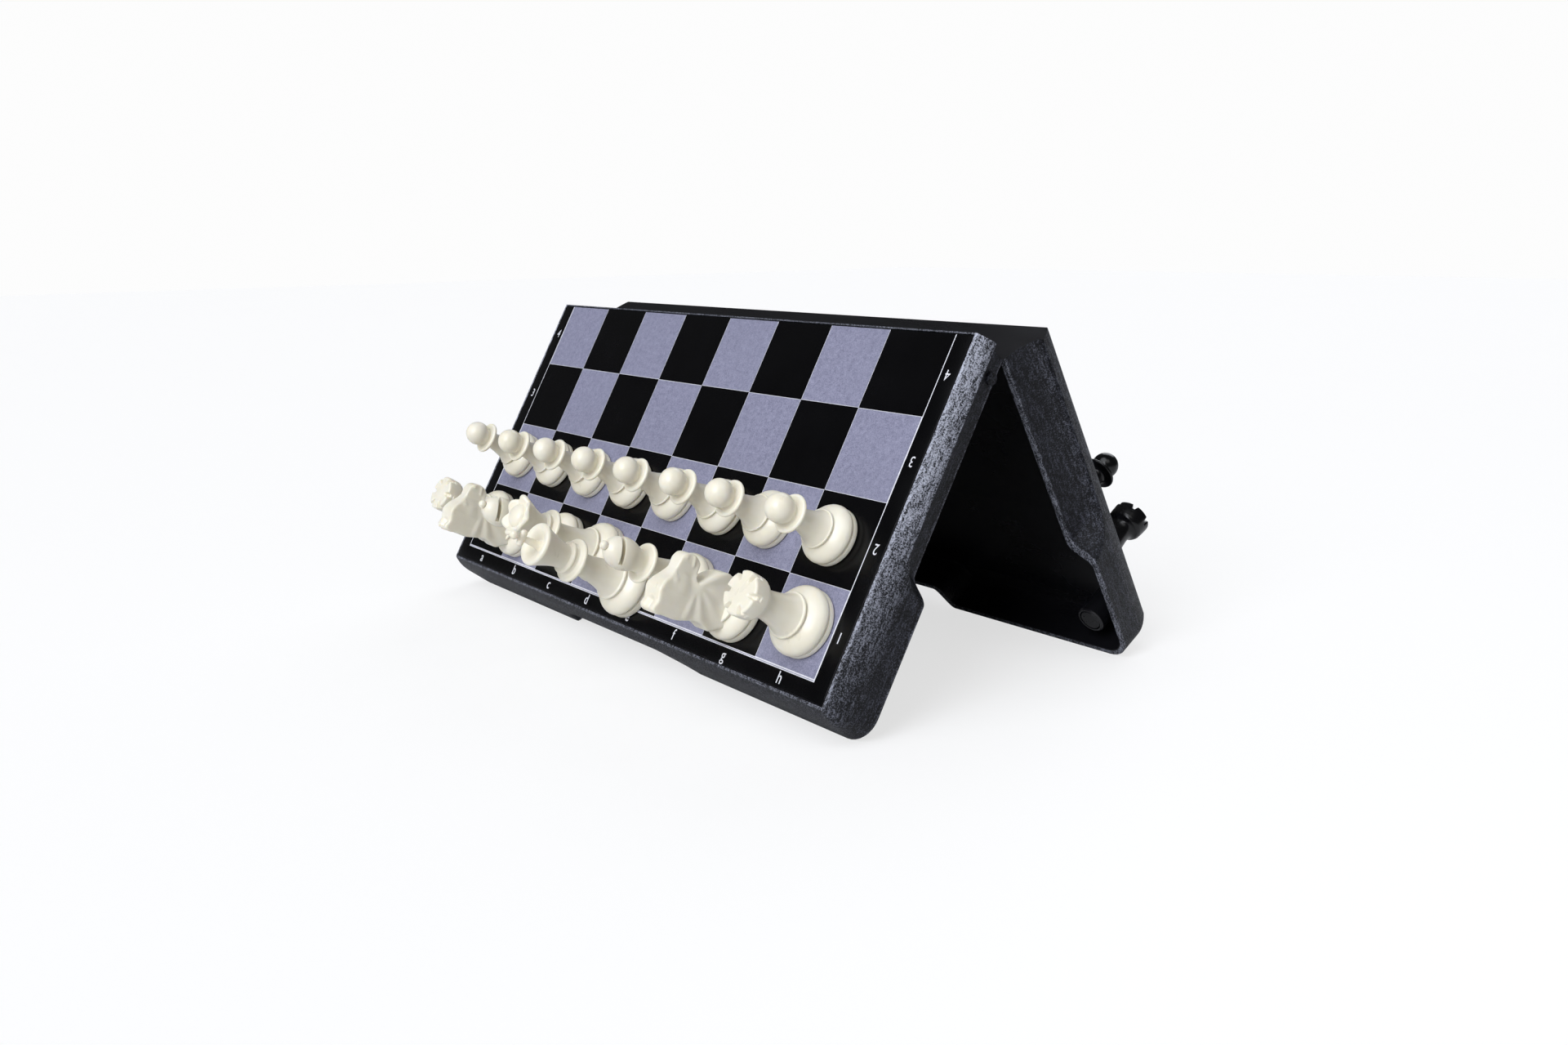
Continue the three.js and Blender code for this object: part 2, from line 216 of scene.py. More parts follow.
def grain_material(name, wear_and_sheen):
    """Spark-eroded slate plastic: dark pits and pale, frosty peaks.

    The second argument is how much painted sheen the end walls get on their rounded part,
    beside the playing surface, where the light glances off them. The lip and the rim are painted
    a little paler too, as thin highlight lines.
    """
    n = Nodes(name)
    along, slope, height = n.half_frame()
    fine = n.noise(2100, 3.0, 0.8)
    streak = n.noise(1100, 3.0, 0.75, (1, 0.2, 1), n.vector(along, slope, height))
    patch = n.noise(50, 3.0, 0.6)
    # Painted sheen: the end walls are painted paler on their rounded part beside the playing
    # surface, where the light glances off them, most towards the hinge.
    rounded = n.ramp(height, 0.007, 0.0165, 0.0, wear_and_sheen)
    end_wall = n.ramp(along, 0.1225, 0.1255)
    near_hinge = n.ramp(slope, -0.12, -0.05, 0.25, 1.0)
    end_wall_sheen = n.maths("MULTIPLY", n.maths("MULTIPLY", rounded, end_wall), near_hinge)
    # Painted highlight: a thin paler line along the lip round the panel.
    lip = n.ramp(height, 0.0184, 0.0188, 0.0, 0.4)
    # Painted highlight: a thin paler line along the rim.
    rim = n.ramp(height, 0.0004, 0.0012, 0.45, 0.0)
    # The painted light marks added up: they make the peaks paler and let more pale peaks show.
    painted_sheen = n.maths("ADD", end_wall_sheen, n.maths("ADD", lip, rim))
    clouds = n.ramp(patch, 0.3, 0.7, -0.02, 0.02)
    drag = n.ramp(streak, 0.3, 0.7, -0.11, 0.11)
    shift = n.maths("ADD", n.maths("ADD", clouds, drag), n.maths("MULTIPLY", painted_sheen, 0.1))
    peaks = n.ramp(n.maths("ADD", fine, shift), 0.49, 0.67)
    n.bump(n.maths("ADD", fine, n.maths("MULTIPLY", streak, 0.6)), 0.00025, 1.0)
    # The peaks' own pale grey, turned towards a painted sheen colour where the painted light
    # marks are.
    frost_and_sheen = n.mix(painted_sheen, (0.066, 0.07, 0.094), (0.5, 0.52, 0.61))
    return n.set(
        Base_Color=n.mix(peaks, (0.0018, 0.002, 0.0036), frost_and_sheen),
        Roughness=n.ramp(fine, 0.35, 0.65, 0.58, 0.36),
        Specular_IOR_Level=0.3,
    )


def tray_material():
    """The smooth black inside of the trays, with faint flow marks."""
    n = Nodes("case_tray")
    flow = n.noise(30, 3.0, 0.6, (1, 4, 1))
    fine = n.noise(900, 2.0)
    n.bump(n.maths("ADD", fine, n.maths("MULTIPLY", flow, 3.0)), 0.00003, 0.5)
    return n.set(
        Base_Color=n.mix(flow, (0.003, 0.003, 0.004), (0.007, 0.007, 0.009)),
        Roughness=n.ramp(flow, 0.3, 0.7, 0.24, 0.36),
    )


def black_print():
    n = Nodes("print_black")
    haze = n.noise(60, 3.0)
    n.bump(n.noise(500, 2.0), 0.00002, 0.2)
    return n.set(
        Base_Color=n.mix(haze, (0.0012, 0.0012, 0.0015), (0.0024, 0.0024, 0.003)),
        Roughness=n.ramp(haze, 0.3, 0.7, 0.2, 0.28),
        Specular_IOR_Level=0.22,
    )


def lilac_print():
    """Metallic lilac-grey ink with a fine mottled grain."""
    n = Nodes("print_lilac")
    flake = n.noise(2400, 2.0, 0.7)
    mottle = n.noise(600, 2.0, 0.6)
    cloud = n.noise(30, 2.0)
    grain = n.maths("ADD", n.maths("MULTIPLY", flake, 0.65), n.maths("MULTIPLY", mottle, 0.35))
    base = n.mix(n.ramp(grain, 0.36, 0.64), (0.165, 0.165, 0.24), (0.31, 0.31, 0.42))
    n.bump(flake, 0.00002, 0.25)
    return n.set(
        Base_Color=n.mix(n.ramp(cloud, 0.35, 0.65, 0.0, 0.25), base, (0.225, 0.23, 0.31)),
        Roughness=n.ramp(flake, 0.3, 0.7, 0.34, 0.46),
        Specular_IOR_Level=0.35,
    )


def white_print():
    n = Nodes("print_white")
    wear_and_sheen = n.noise(700, 2.0)
    n.bump(wear_and_sheen, 0.00001, 0.2)
    return n.set(
        Base_Color=n.mix(n.ramp(wear_and_sheen, 0.35, 0.75), (0.76, 0.76, 0.8), (0.6, 0.6, 0.65)),
        Roughness=n.ramp(wear_and_sheen, 0.3, 0.7, 0.35, 0.5),
    )


def ivory_material():
    """Ivory styrene, a little waxy, with faint swirls in the moulding."""
    n = Nodes("ivory_plastic")
    swirl = n.noise(110, 3.0, 0.55, (1, 1, 0.5))
    fine = n.noise(1100, 2.0)
    n.bump(n.maths("ADD", fine, n.maths("MULTIPLY", swirl, 4.0)), 0.00002, 0.35)
    return n.set(
        Base_Color=n.mix(n.ramp(swirl, 0.3, 0.7), (0.82, 0.77, 0.63), (0.87, 0.83, 0.71)),
        Roughness=n.ramp(swirl, 0.3, 0.7, 0.27, 0.36),
        Subsurface_Weight=0.3,
        Subsurface_Radius=(1.0, 0.8, 0.45),
        Subsurface_Scale=0.0018,
    )


def ebony_material():
    """Glossy black styrene."""
    n = Nodes("black_plastic")
    swirl = n.noise(90, 3.0, 0.55, (1, 1, 0.5))
    fine = n.noise(1100, 2.0)
    n.bump(n.maths("ADD", fine, n.maths("MULTIPLY", swirl, 4.0)), 0.00002, 0.3)
    return n.set(
        Base_Color=n.mix(swirl, (0.0015, 0.0015, 0.002), (0.004, 0.004, 0.005)),
        Roughness=n.ramp(swirl, 0.3, 0.7, 0.2, 0.3),
        Specular_IOR_Level=0.4,
    )


def ferrite_material():
    """Sintered magnet: dark grey, slightly rough, with a few paler grains."""
    n = Nodes("ferrite")
    fine = n.noise(1600, 2.0, 0.7)
    n.bump(fine, 0.00003, 0.5)
    return n.set(
        Base_Color=n.mix(n.ramp(fine, 0.45, 0.75), (0.002, 0.002, 0.003), (0.007, 0.007, 0.008)),
        Roughness=n.ramp(fine, 0.3, 0.7, 0.25, 0.4),
    )


def steel_material(name, dark, light, scale, stretch, rough):
    """Bare metal with fine drawn or rolled lines; rough is the range of its roughness."""
    n = Nodes(name)
    lines = n.noise(scale, 4.0, 0.6, stretch)
    n.bump(lines, 0.00001, 0.3)
    return n.set(
        Base_Color=n.mix(lines, dark, light),
        Metallic=1.0,
        Roughness=n.ramp(lines, 0.3, 0.7, *rough),
    )


END_WALL_SHEEN = {"front": 0.9, "rear": 0.25}  # painted sheen of the end walls: lit and shaded copies of one grain, with much more on the front half, whose end walls face the light
GRAINS = {side: grain_material(f"case_grain_{side}", wear_and_sheen) for side, wear_and_sheen in END_WALL_SHEEN.items()}
TRAY = tray_material()
BLACK_PRINT = black_print()
LILAC_PRINT = lilac_print()
WHITE_PRINT = white_print()
IVORY = ivory_material()
EBONY = ebony_material()
SHEET_STEEL = steel_material(
    "sheet_steel", (0.42, 0.43, 0.45), (0.6, 0.61, 0.62), 300, (1, 12, 1), (0.32, 0.5)
)
PIN_STEEL = steel_material(
    "pin_steel", (0.4, 0.4, 0.42), (0.62, 0.62, 0.63), 500, (0.1, 1, 1), (0.2, 0.36)
)
FERRITE = ferrite_material()

# ---- Mesh building -----------------------------------------------------------------

# Angles between faces, in degrees, above which an edge stays sharp.
SHARP = 38
CASE_SHARP = 30
PANEL_SHARP = 60
PIECE_SHARP = 42


def new_object(name, points, faces, materials, face_materials=None):
    """A mesh object from millimetre points, with its faces' material indices."""
    mesh = bpy.data.meshes.new(name)
    mesh.from_pydata([Vector(p) * MM for p in points], [], faces)
    for material in materials:
        mesh.materials.append(material)
    if face_materials:
        mesh.polygons.foreach_set("material_index", face_materials)
    obj = bpy.data.objects.new(name, mesh)
    bpy.context.scene.collection.objects.link(obj)
    return obj


def finish_mesh(obj, sharp=SHARP):
    """Outward normals and smooth shading that breaks at real edges."""
    work = bmesh.new()
    work.from_mesh(obj.data)
    bmesh.ops.remove_doubles(work, verts=work.verts, dist=1e-7)
    bmesh.ops.recalc_face_normals(work, faces=work.faces)
    work.to_mesh(obj.data)
    work.free()
    obj.data.shade_smooth()
    obj.data.set_sharp_from_angle(angle=math.radians(sharp))
    return obj


def evaluated(obj):
    """The mesh of obj with its modifiers applied."""
    graph = bpy.context.evaluated_depsgraph_get()
    return bpy.data.meshes.new_from_object(obj.evaluated_get(graph))


def bake_modifiers(obj):
    mesh = evaluated(obj)
    obj.modifiers.clear()
    obj.data = mesh
    return obj


def combine(target, tool, operation):
    """A boolean of two closed meshes; the tool is used up."""
    modifier = target.modifiers.new("cut", "BOOLEAN")
    modifier.operation = operation
    modifier.solver = "EXACT"
    modifier.object = tool
    bake_modifiers(target)
    bpy.data.objects.remove(tool)
    return target


def skin(rings, face_material):
    """A closed surface through rings of equal length, with a flat cap on each end.

    face_material(ring, place) gives the material index of each face, with place running
    round the ring; the last place is the hinge wall.
    """
    count = len(rings[0])
    points = [p for ring in rings for p in ring]
    faces = [tuple(range(count))]
    indices = [face_material(0, 0)]
    for r in range(len(rings) - 1):
        for i in range(count):
            j = (i + 1) % count
            a, b = r * count + i, r * count + j
            faces.append((a, a + count, b + count, b))
            indices.append(face_material(r, i))
    faces.append(tuple(reversed(range(len(points) - count, len(points)))))
    indices.append(face_material(len(rings) - 1, 0))
    return points, faces, indices


def lathe(profile, sides, shape=None):
    """Points and faces of a solid turned about Z; shape(r, z, angle) may reshape it."""
    points = []
    faces = []
    rows = []
    for radius, height in profile:
        if radius < 1e-6:
            rows.append([len(points)])
            points.append((0.0, 0.0, height))
            continue
        row = []
        for i in range(sides):
            angle = 2 * math.pi * i / sides
            r, z = shape(radius, height, angle) if shape else (radius, height)
            row.append(len(points))
            points.append((r * math.cos(angle), r * math.sin(angle), z))
        rows.append(row)
    for low, high in zip(rows, rows[1:]):
        for i in range(sides):
            j = (i + 1) % sides
            if len(low) == 1 and len(high) == 1:
                continue
            if len(low) == 1:
                faces.append((low[0], high[i], high[j]))
            elif len(high) == 1:
                faces.append((low[i], low[j], high[0]))
            else:
                faces.append((low[i], low[j], high[j], high[i]))
    return points, faces


def spline(points, steps=6):
    """A smooth curve through points, as a list that keeps both ends."""
    ends = [points[0], *points, points[-1]]
    line = []
    for a, b, c, d in zip(ends, ends[1:], ends[2:], ends[3:]):
        for i in range(steps):
            t = i / steps
            line.append(
                tuple(
                    0.5 * (2 * q + (s - p) * t + (2 * p - 5 * q + 4 * s - w) * t * t
                           + (3 * q - p - 3 * s + w) * t ** 3)
                    for p, q, s, w in zip(a, b, c, d)
                )
            )
    return [*line, points[-1]]


def arc(centre, radii, start, end, steps):
    """Points on an ellipse in the (radius, height) plane, angles in degrees."""
    (x, z), (rx, rz) = centre, radii
    angles = [math.radians(start + (end - start) * i / steps) for i in range(steps + 1)]
    return [(x + rx * math.cos(a), z + rz * math.sin(a)) for a in angles]


def smooth(t):
    t = min(max(t, 0.0), 1.0)
    return t * t * (3 - 2 * t)


def between(pair, t):
    return pair[0] + (pair[1] - pair[0]) * t


# ---- Case halves -------------------------------------------------------------------

OUTLINE_STEPS = 14  # along the S-shaped end of a scoop
CORNER_STEPS = 8
RECESS_RINGS = 3  # how many of the case's rings belong to the panel's recess


def flare_at(depth):
    """Outward offset of the wall: rounded beside the playing surface, then flat."""
    rounding = (WALL_FLARE - WALL_DRAFT * CASE_DEPTH) / FLAT_FROM ** 2
    straight = WALL_FLARE - WALL_DRAFT * (CASE_DEPTH - depth)
    return straight - rounding * max(FLAT_FROM - depth, 0.0) ** 2


def scoop_at(depth):
    """How deep the finger scoops are: a quarter ellipse from their ridge to the rim."""
    if depth <= RIDGE_DEPTH:
        return 0.0
    rise = (CASE_DEPTH - depth) / (CASE_DEPTH - RIDGE_DEPTH)
    return math.sqrt(1 - max(rise, 0.0) ** 2)


def outline(offset, inset, end_scoop, front_scoop, corner, hinge_gap, depth):
    """The case in plan, from the left hinge corner round to the right one."""
    half_width = BOARD_WIDTH / 2 + offset
    reach = BOARD_REACH + offset
    right = []
    for i in range(OUTLINE_STEPS + 1):
        t = i / OUTLINE_STEPS
        right.append((front_scoop - SCOOP_RUN * (1 - t), reach - inset * (1 - smooth(t))))
    for i in range(CORNER_STEPS + 1):
        turn = (1 - i / CORNER_STEPS) * math.pi / 2
        x = half_width - corner + corner * math.cos(turn)
        right.append((x, reach - corner + corner * math.sin(turn)))
    for i in range(OUTLINE_STEPS + 1):
        t = i / OUTLINE_STEPS
        right.append((half_width - inset * smooth(t), end_scoop - SCOOP_RUN * t))
    right.append((half_width - inset, hinge_gap))
    both = [(-x, y) for x, y in reversed(right)] + right
    return [(x, -y, CASE_DEPTH - depth) for x, y in both]


def outer_ring(depth, pulled_in=0.0):
    scoop = scoop_at(depth)
    flare = flare_at(depth)
    return outline(
        flare - pulled_in,
        scoop * (flare + SCOOP_INSET),
        between(END_SCOOP, scoop),
        between(FRONT_SCOOP, scoop),
        between((CORNER_TOP, CORNER_RIM), depth / CASE_DEPTH),
        PARTING_GAP / 2,
        depth,
    )


def cavity_ring(depth, pulled_in=0.0):
    offset = flare_at(depth) - WALL
    return outline(
        offset - pulled_in,
        offset + SCOOP_INSET + WALL,
        END_SCOOP[1] + WALL,
        FRONT_SCOOP[1] + WALL,
        CORNER_RIM - WALL,
        PARTING_GAP / 2 + WALL + pulled_in,
        depth,
    )


def recess_ring(depth, grown=0.0):
    return outline(
        -LIP + grown,
        0.0,
        END_SCOOP[0],
        FRONT_SCOOP[0],
        CORNER_TOP / 2,
        PARTING_GAP / 2 + HINGE_LIP - grown,
        depth,
    )


def rod_x(radius, length, x, material, sides=40, chamfer=0.0):
    """A rod along the hinge axis."""
    half = length / 2
    profile = [(0.0, -half), (radius - chamfer, -half), (radius, chamfer - half)]
    profile += [(radius, half - chamfer), (radius - chamfer, half), (0.0, half)]
    points, faces = lathe(profile, sides)
    turned = [(x + z, px, py) for px, py, z in points]
    return finish_mesh(new_object("rod", turned, faces, [material]))


def post_z(radius, low, high, x, y, material, sides=40, chamfer=0.0):
    """A round post along Z between two heights."""
    profile = [(0.0, low), (radius - chamfer, low), (radius, low + chamfer)]
    profile += [(radius, high - chamfer), (radius - chamfer, high), (0.0, high)]
    points, faces = lathe(profile, sides)
    placed = [(px + x, py + y, z) for px, py, z in points]
    return finish_mesh(new_object("post", placed, faces, [material]))


def case_rings():
    """Rings from the panel recess, over the lip, down the wall and up the cavity."""
    recess = [recess_ring(RECESS), recess_ring(0.12), recess_ring(0.0, 0.12)]
    fillet = [outer_ring(0.0, EDGE), outer_ring(0.06, 0.1)]
    upper = [outer_ring(d) for d in (0.3, 0.9, 1.8, 3.0, 4.2, 5.4, 6.2)]
    swings = range(0, 85, 6)
    drop = CASE_DEPTH - RIDGE_DEPTH
    scoop = [outer_ring(CASE_DEPTH - drop * math.cos(math.radians(a))) for a in swings]
    rim = [outer_ring(RIM_DEPTH - EDGE), outer_ring(RIM_DEPTH - 0.08, 0.08)]
    rim.append(outer_ring(RIM_DEPTH, EDGE))
    cavity = [cavity_ring(RIM_DEPTH, -0.2), cavity_ring(RIM_DEPTH - 0.2)]
    cavity += [cavity_ring(d) for d in (12.0, FLAT_FROM, 6.5, WEB_DEPTH + 1.2)]
    cavity += [cavity_ring(WEB_DEPTH + 0.35, 0.25), cavity_ring(WEB_DEPTH, 1.2)]
    outer = [*recess, *fillet, *upper, *scoop, *rim]
    return [*outer, *cavity], len(outer)


def knuckle_rods(side, radius, extra, material):
    """A side's knuckles as rods; extra makes them longer, to cut the other side's room."""
    length = KNUCKLE_LENGTH - PARTING_GAP + extra
    rods = []
    for hinge in (-HINGE_OFFSET, HINGE_OFFSET):
        for place in KNUCKLES[side]:
            x = hinge + place * (KNUCKLE_LENGTH + PARTING_GAP / 2)
            rods.append(rod_x(radius, length, x, material, chamfer=0.2))
    return rods


def case_half(side):
    """One tray: walls with finger scoops, knuckles, and bosses for the catch magnets."""
    rings, outer_count = case_rings()
    hinge_wall = len(rings[0]) - 1

    def smooth_part(ring, place):
        return int(ring >= outer_count or (place == hinge_wall and ring >= RECESS_RINGS))

    points, faces, indices = skin(rings, smooth_part)
    grain = GRAINS[side]
    case = finish_mesh(new_object(f"{side}_case_shell", points, faces, [grain, TRAY], indices))
    corners = [(-MAGNET_X, MAGNET_Y), (MAGNET_X, MAGNET_Y)]
    boss_root = CASE_DEPTH - WEB_DEPTH + 1
    pocket_top = BOSS_TOP + MAGNET_THICKNESS + FIT_GAP
    for x, y in corners:
        boss = post_z(BOSS_RADIUS, BOSS_TOP, boss_root, x, y, TRAY, chamfer=0.5)
        combine(case, boss, "UNION")
        pocket = post_z(MAGNET_RADIUS + FIT_GAP, BOSS_TOP - 1, pocket_top, x, y, TRAY)
        combine(case, pocket, "DIFFERENCE")
    other = "rear" if side == "front" else "front"
    room = KNUCKLE_RADIUS + KNUCKLE_CLEARANCE
    for rod in knuckle_rods(other, room, 3 * PARTING_GAP + KNUCKLE_CLEARANCE, grain):
        combine(case, rod, "DIFFERENCE")
    for rod in knuckle_rods(side, KNUCKLE_RADIUS, 0.0, grain):
        combine(case, rod, "UNION")
    for x in (-LUG_CENTRE[0], LUG_CENTRE[0]) if side == "front" else ():
        lug = rod_x(LUG_RADIUS, LUG_LENGTH, x, grain, chamfer=0.7)
        lug.data.transform(Matrix.Translation(Vector((0, *LUG_CENTRE[1:])) * MM))
        combine(case, lug, "UNION")
    for hinge in (-HINGE_OFFSET, HINGE_OFFSET):
        combine(case, rod_x(PIN_BORE, PIN_LENGTH + 2, hinge, TRAY), "DIFFERENCE")
    return finish_mesh(case, CASE_SHARP)


# ---- Printed panels ----------------------------------------------------------------

LINE = 0.34  # width of the white frame line
HAIRLINE = 0.16  # pale edge of each light square
FOOT_LINE = 0.8  # the double line below the first rank
FOOT_GAP = (0.36, 0.64)  # where its lilac middle starts and stops, as shares of it
PANEL_EDGE = 0.15  # rounding of the panel's edge
LETTER_HEIGHT = 4.1
DIGIT_HEIGHT = 3.7
LETTER_SQUEEZE = 0.86
LETTER_BOLD = 0.02  # added to each side of a letter's stroke
CAPITAL_SHARE = 0.72  # height of a capital letter, as a share of the font's size
INK = 0.015  # thickness of the raised ink


def cuts(edges):
    """Sorted coordinates without repeats."""
    return sorted({round(e, 4) for e in edges})


def print_at(x, y):
    """Which ink covers a point of the playing surface: 0 black, 1 lilac, 2 white."""
    half = 4 * SQUARE
    if abs(x) > half or y < -half:
        inside_frame = abs(x) < half + LINE and y > -half - FOOT_LINE
        if not inside_frame:
            return 0
        below = -half - y
        if abs(x) < half and FOOT_LINE * FOOT_GAP[0] < below < FOOT_LINE * FOOT_GAP[1]:
            return 1
        return 2
    column = math.floor((x + half) / SQUARE)
    row = math.floor((y + half) / SQUARE)
    if (column + row) % 2 == 0:
        return 0
    dx = (x + half) - column * SQUARE
    dy = (y + half) - row * SQUARE
    edge = min(dx, SQUARE - dx, dy, SQUARE - dy)
    return 2 if edge < HAIRLINE else 1


def board_panel(side):
    """The printed sheet: one top face for each patch of ink, and a rounded rim."""
    low_x, high_x = -BOARD_WIDTH / 2 + LIP + FIT_GAP, BOARD_WIDTH / 2 - LIP - FIT_GAP
    low_y, high_y = -(BOARD_REACH - LIP - FIT_GAP), -(PARTING_GAP / 2 + HINGE_LIP + FIT_GAP)
    half = 4 * SQUARE
    lines = [(i - 4) * SQUARE + d for i in range(9) for d in (-HAIRLINE, 0, HAIRLINE)]
    foot_lines = [-half - FOOT_LINE * share for share in (*FOOT_GAP, 1.0)]
    frame_edges = [-half - LINE, half + LINE]
    xs = cuts([low_x + PANEL_EDGE, high_x - PANEL_EDGE, *lines, *frame_edges])
    ranks = [v for v in lines if v < high_y - PANEL_EDGE]
    ys = cuts([low_y + PANEL_EDGE, high_y - PANEL_EDGE, *foot_lines, *ranks])
    top = CASE_DEPTH
    points = [(x, y, top) for y in ys for x in xs]
    faces = []
    inks = []
    for r in range(len(ys) - 1):
        for c in range(len(xs) - 1):
            a = r * len(xs) + c
            faces.append((a, a + 1, a + 1 + len(xs), a + len(xs)))
            inks.append(print_at((xs[c] + xs[c + 1]) / 2, (ys[r] + ys[r + 1]) / 2))
    rim = list(range(len(xs)))
    rim += [r * len(xs) + len(xs) - 1 for r in range(1, len(ys))]
    rim += [(len(ys) - 1) * len(xs) + c for c in reversed(range(len(xs) - 1))]
    rim += [r * len(xs) for r in reversed(range(1, len(ys) - 1))]
    previous = rim
    steps = ((0.1, 0.04), (PANEL_EDGE, PANEL_EDGE), (PANEL_EDGE, PANEL_THICKNESS))
    for out, drop in steps:
        ring = []
        for index in rim:
            x, y, _ = points[index]
            shift_x = out if x > xs[-1] - 1e-6 else -out if x < xs[0] + 1e-6 else 0
            shift_y = out if y > ys[-1] - 1e-6 else -out if y < ys[0] + 1e-6 else 0
            ring.append(len(points))
            points.append((x + shift_x, y + shift_y, top - drop))
        for i in range(len(rim)):
            j = (i + 1) % len(rim)
            faces.append((previous[i], ring[i], ring[j], previous[j]))
            inks.append(0)
        previous = ring
    faces.append(tuple(reversed(previous)))
    inks.append(0)
    inks_used = [BLACK_PRINT, LILAC_PRINT, WHITE_PRINT]
    sheet = new_object(f"{side}_printed_panel", points, faces, inks_used, inks)
    return finish_mesh(sheet, PANEL_SHARP)


def glyph(text, x, y, turned):
    """A character printed on the border, as thin raised ink."""
    curve = bpy.data.curves.new(f"glyph_{text}", "FONT")
    curve.body = text
    curve.size = (DIGIT_HEIGHT if text.isdigit() else LETTER_HEIGHT) / CAPITAL_SHARE * MM
    curve.offset = 0.0 if text.isdigit() else LETTER_BOLD * MM
    curve.align_x = "CENTER"
    curve.align_y = "CENTER"
    curve.extrude = INK * MM
    curve.resolution_u = 6
    obj = bpy.data.objects.new(f"glyph_{text}", curve)
    bpy.context.scene.collection.objects.link(obj)
    bpy.context.view_layer.update()
    mesh = evaluated(obj)
    bpy.data.objects.remove(obj)
    squeeze = Matrix.Diagonal((LETTER_SQUEEZE, 1, 1, 1))
    turn = Matrix.Rotation(math.pi if turned else 0, 4, "Z")
    lift = Matrix.Translation(Vector((x, y, CASE_DEPTH + 2 * INK)) * MM)
    mesh.transform(lift @ turn @ squeeze)
    return mesh


def coordinates(side):
    """The letters and digits of one half, joined in one piece."""
    rim = 4 * SQUARE + 3.5
    glyphs = []
    for i in range(8):
        file = i if side == "front" else 7 - i
        glyphs.append(("abcdefgh"[file], (i - 3.5) * SQUARE, -rim, False))
    for row in range(4):
        rank = row + 1 if side == "front" else 8 - row
        y = (row - 3.5) * SQUARE
        glyphs.append((str(rank), -rim + 0.2, y, False))
        glyphs.append((str(rank), rim - 0.2, y, True))
    work = bmesh.new()
    for text, x, y, turned in glyphs:
        work.from_mesh(glyph(text, x, y, turned))
    mesh = bpy.data.meshes.new(f"{side}_coordinates")
    work.to_mesh(mesh)
    work.free()
    mesh.materials.append(WHITE_PRINT)
    obj = bpy.data.objects.new(f"{side}_coordinates", mesh)
    bpy.context.scene.collection.objects.link(obj)
    return obj


# ---- Chess pieces ------------------------------------------------------------------

TURNED_SIDES = 72
VOXEL = 0.4  # grid of the carved shapes
SMALL_FLANGE = 1.9  # height of a pawn's bottom flange
LARGE_FLANGE = 2.5  # the same on the tall pieces
SLIT_SIZE = (10.0, 14.0, 1.4)  # of the bishop's cut: out from the axis, across, thick
SLIT_HEIGHT = 34.0  # where it meets the axis
SLIT_SLOPE = math.radians(-22)
SLIT_TURN = math.radians(42)  # from +X, half way to the hinge


def foot(radius, height, flange):
    """Underside with the magnet's pocket, bottom flange, groove, dome and skirt edge."""
    pocket = FOOT_MAGNET_RADIUS + 0.15
    side = radius * 0.985
    profile = [(0.0, FOOT_MAGNET_THICKNESS + 0.15), (pocket, FOOT_MAGNET_THICKNESS + 0.15)]
    profile += [(pocket, 0.15), (pocket + 0.2, 0.0), (side - 0.4, 0.0)]
    profile += arc((side - 0.4, 0.4), (0.4, 0.4), -80, 0, 5)
    profile += [(side, flange - 0.35), (side - 0.1, flange - 0.1), (side - 0.4, flange)]
    profile += [(side - 0.6, flange + 0.12), (side - 0.55, flange + 0.3)]
    profile += [(side - 0.25, flange + 0.4)]
    low = flange + 0.45
    rise = height - low
    dome = [(0.985, 0.0), (1.0, 0.12), (0.97, 0.32), (0.89, 0.51), (0.78, 0.66), (0.69, 0.75)]
    valley = [(0.645, 0.785), (0.625, 0.82), (0.64, 0.87), (0.67, 0.92), (0.67, 0.965)]
    profile += spline([(radius * r, low + rise * h) for r, h in dome], 5)
    profile += spline([(radius * r, low + rise * h) for r, h in valley], 3)
    return [*profile, (radius * 0.655, height - 0.03), (radius * 0.62, height)]


def pawn():
    profile = foot(9.9, 8.6, SMALL_FLANGE)
    neck = [(6.0, 8.8), (4.85, 11.0), (3.9, 14.2), (3.3, 17.6), (3.7, 19.2), (5.6, 19.8)]
    profile += spline(neck, 6)
    profile += arc((5.75, 20.5), (0.7, 0.7), -80, 100, 8)
    profile += spline([(5.2, 21.1), (4.2, 20.9), (3.5, 21.2)], 4)
    profile += arc((0.0, 25.2), (4.8, 4.8), -48, 90, 22)[1:]
    return lathe(profile, TURNED_SIDES)


def crenel(angle, count, gap):
    """1 on a merlon and 0 in a gap, with soft sides."""
    phase = (angle * count / (2 * math.pi)) % 1.0
    distance = abs(phase - 0.5) * 2
    return smooth((distance - gap) / 0.16)


def rook():
    def battlement(radius, height, angle):
        if height < 27.0:
            return radius, height
        up = crenel(angle, 6, 0.15)
        lift = (height - 27.0) / 3.0
        inner = smooth((radius - 3.6) / 2.2)
        down = (1 - up) * inner
        return radius - 0.35 * down, height - 1.5 * down * smooth(lift * 1.6)

    profile = foot(11.6, 9.4, SMALL_FLANGE)
    neck = [(7.0, 9.6), (5.9, 12.2), (5.1, 15.6), (4.6, 19.6), (5.0, 21.8), (6.4, 23.2)]
    profile += spline(neck, 6)
    profile += spline([(6.9, 24.2), (7.1, 26.4), (7.15, 28.6)], 5)
    profile += arc((6.35, 29.2), (0.8, 0.8), 0, 90, 6)
    profile += spline([(6.0, 30.0), (4.8, 29.95), (3.6, 30.0), (1.8, 30.1)], 4)
    return lathe([*profile, (0.0, 30.15)], TURNED_SIDES * 2, battlement)


